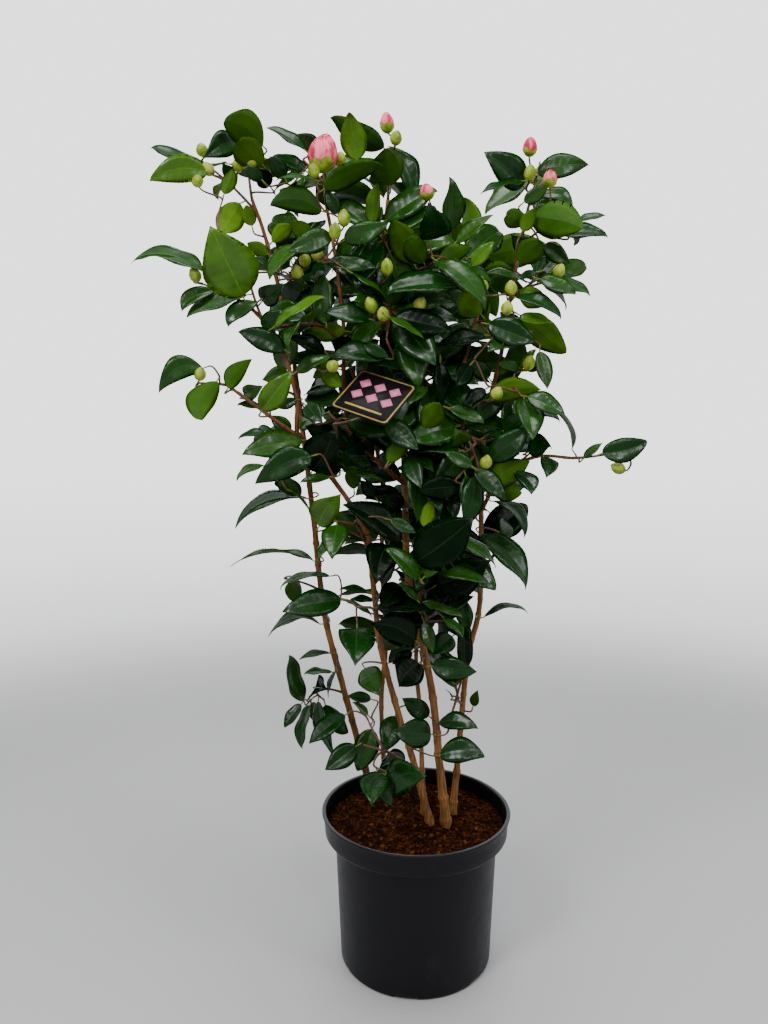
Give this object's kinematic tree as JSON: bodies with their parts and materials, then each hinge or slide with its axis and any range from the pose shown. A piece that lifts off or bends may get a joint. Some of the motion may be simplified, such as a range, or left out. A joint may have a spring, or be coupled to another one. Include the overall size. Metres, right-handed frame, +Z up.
{
  "type": "potted camellia shrub",
  "caption": "Evergreen camellia shrub with upright stems, glossy pointed leaves and flower buds, growing in a round black nursery pot that stands on its flat underside.",
  "frame": {"origin": "centre of the pot's flat underside, on the surface it stands on", "axes": "+Z up, the height of the plant. +X to the right seen from the fuller front of the shrub. +Y away from that front, so the shrub's front looks along -Y."},
  "size_m": [0.6672, 0.3556, 1.126],
  "materials": {
    "pot": "satin charcoal black moulded plastic with soil dust",
    "soil": "moist fibrous peat and coir compost",
    "bark": "tan brown bark with fine fissures and nodes",
    "foliage": "leathery glossy dark green leaves with a pale rib"
  },
  "bodies": {
    "root": {"pot": "pot", "soil": "soil", "stem_left": "bark", "stem_leaning": "bark", "stem_back": "bark", "stem_centre": "bark", "stem_thin": "bark", "stem_right": "bark", "bough_left": "bark", "bough_left_upper": "bark", "bough_left_arm": "bark", "bough_top_left": "bark", "bough_pink": "bark", "bough_top_centre": "bark", "bough_right_centre": "bark", "bough_right_top": "bark", "bough_right_arm": "bark", "bough_back_left": "bark", "bough_back_right": "bark", "bough_back_top": "bark", "leaves_far_left_top": "foliage", "leaves_left_top": "foliage", "leaves_left_reach": "foliage", "leaves_left_upper": "foliage", "leaves_left_inner": "foliage", "leaves_left_arm": "foliage", "leaves_left_middle": "foliage", "leaves_left_low": "foliage", "leaves_low_left": "foliage", "leaves_pink_top": "foliage", "leaves_upper_left": "foliage", "leaves_mid_upper_left": "foliage", "leaves_centre_left": "foliage", "leaves_top_centre": "foliage", "leaves_upper_centre": "foliage", "leaves_mid_upper": "foliage", "leaves_top_right_centre": "foliage", "leaves_centre_right": "foliage", "leaves_right_tip": "foliage", "leaves_right_top": "foliage", "leaves_right_mid_top": "foliage", "leaves_right_upper": "foliage", "leaves_right_lower": "foliage", "leaves_right_arm_tip": "foliage", "leaves_right_arm": "foliage", "leaves_centre_dark": "foliage", "leaves_centre": "foliage", "leaves_centre_low": "foliage", "leaves_low_middle": "foliage", "leaves_centre_left_low": "foliage", "leaves_low_left_middle": "foliage", "leaves_foot": "foliage", "leaves_right_low": "foliage", "leaves_low_right": "foliage", "leaves_back_left": "foliage", "leaves_back_middle_left": "foliage", "leaves_back_right": "foliage", "leaves_back_middle_right": "foliage", "leaves_back_top": "foliage", "leaves_back_low": "foliage"}
  },
  "joints": []
}
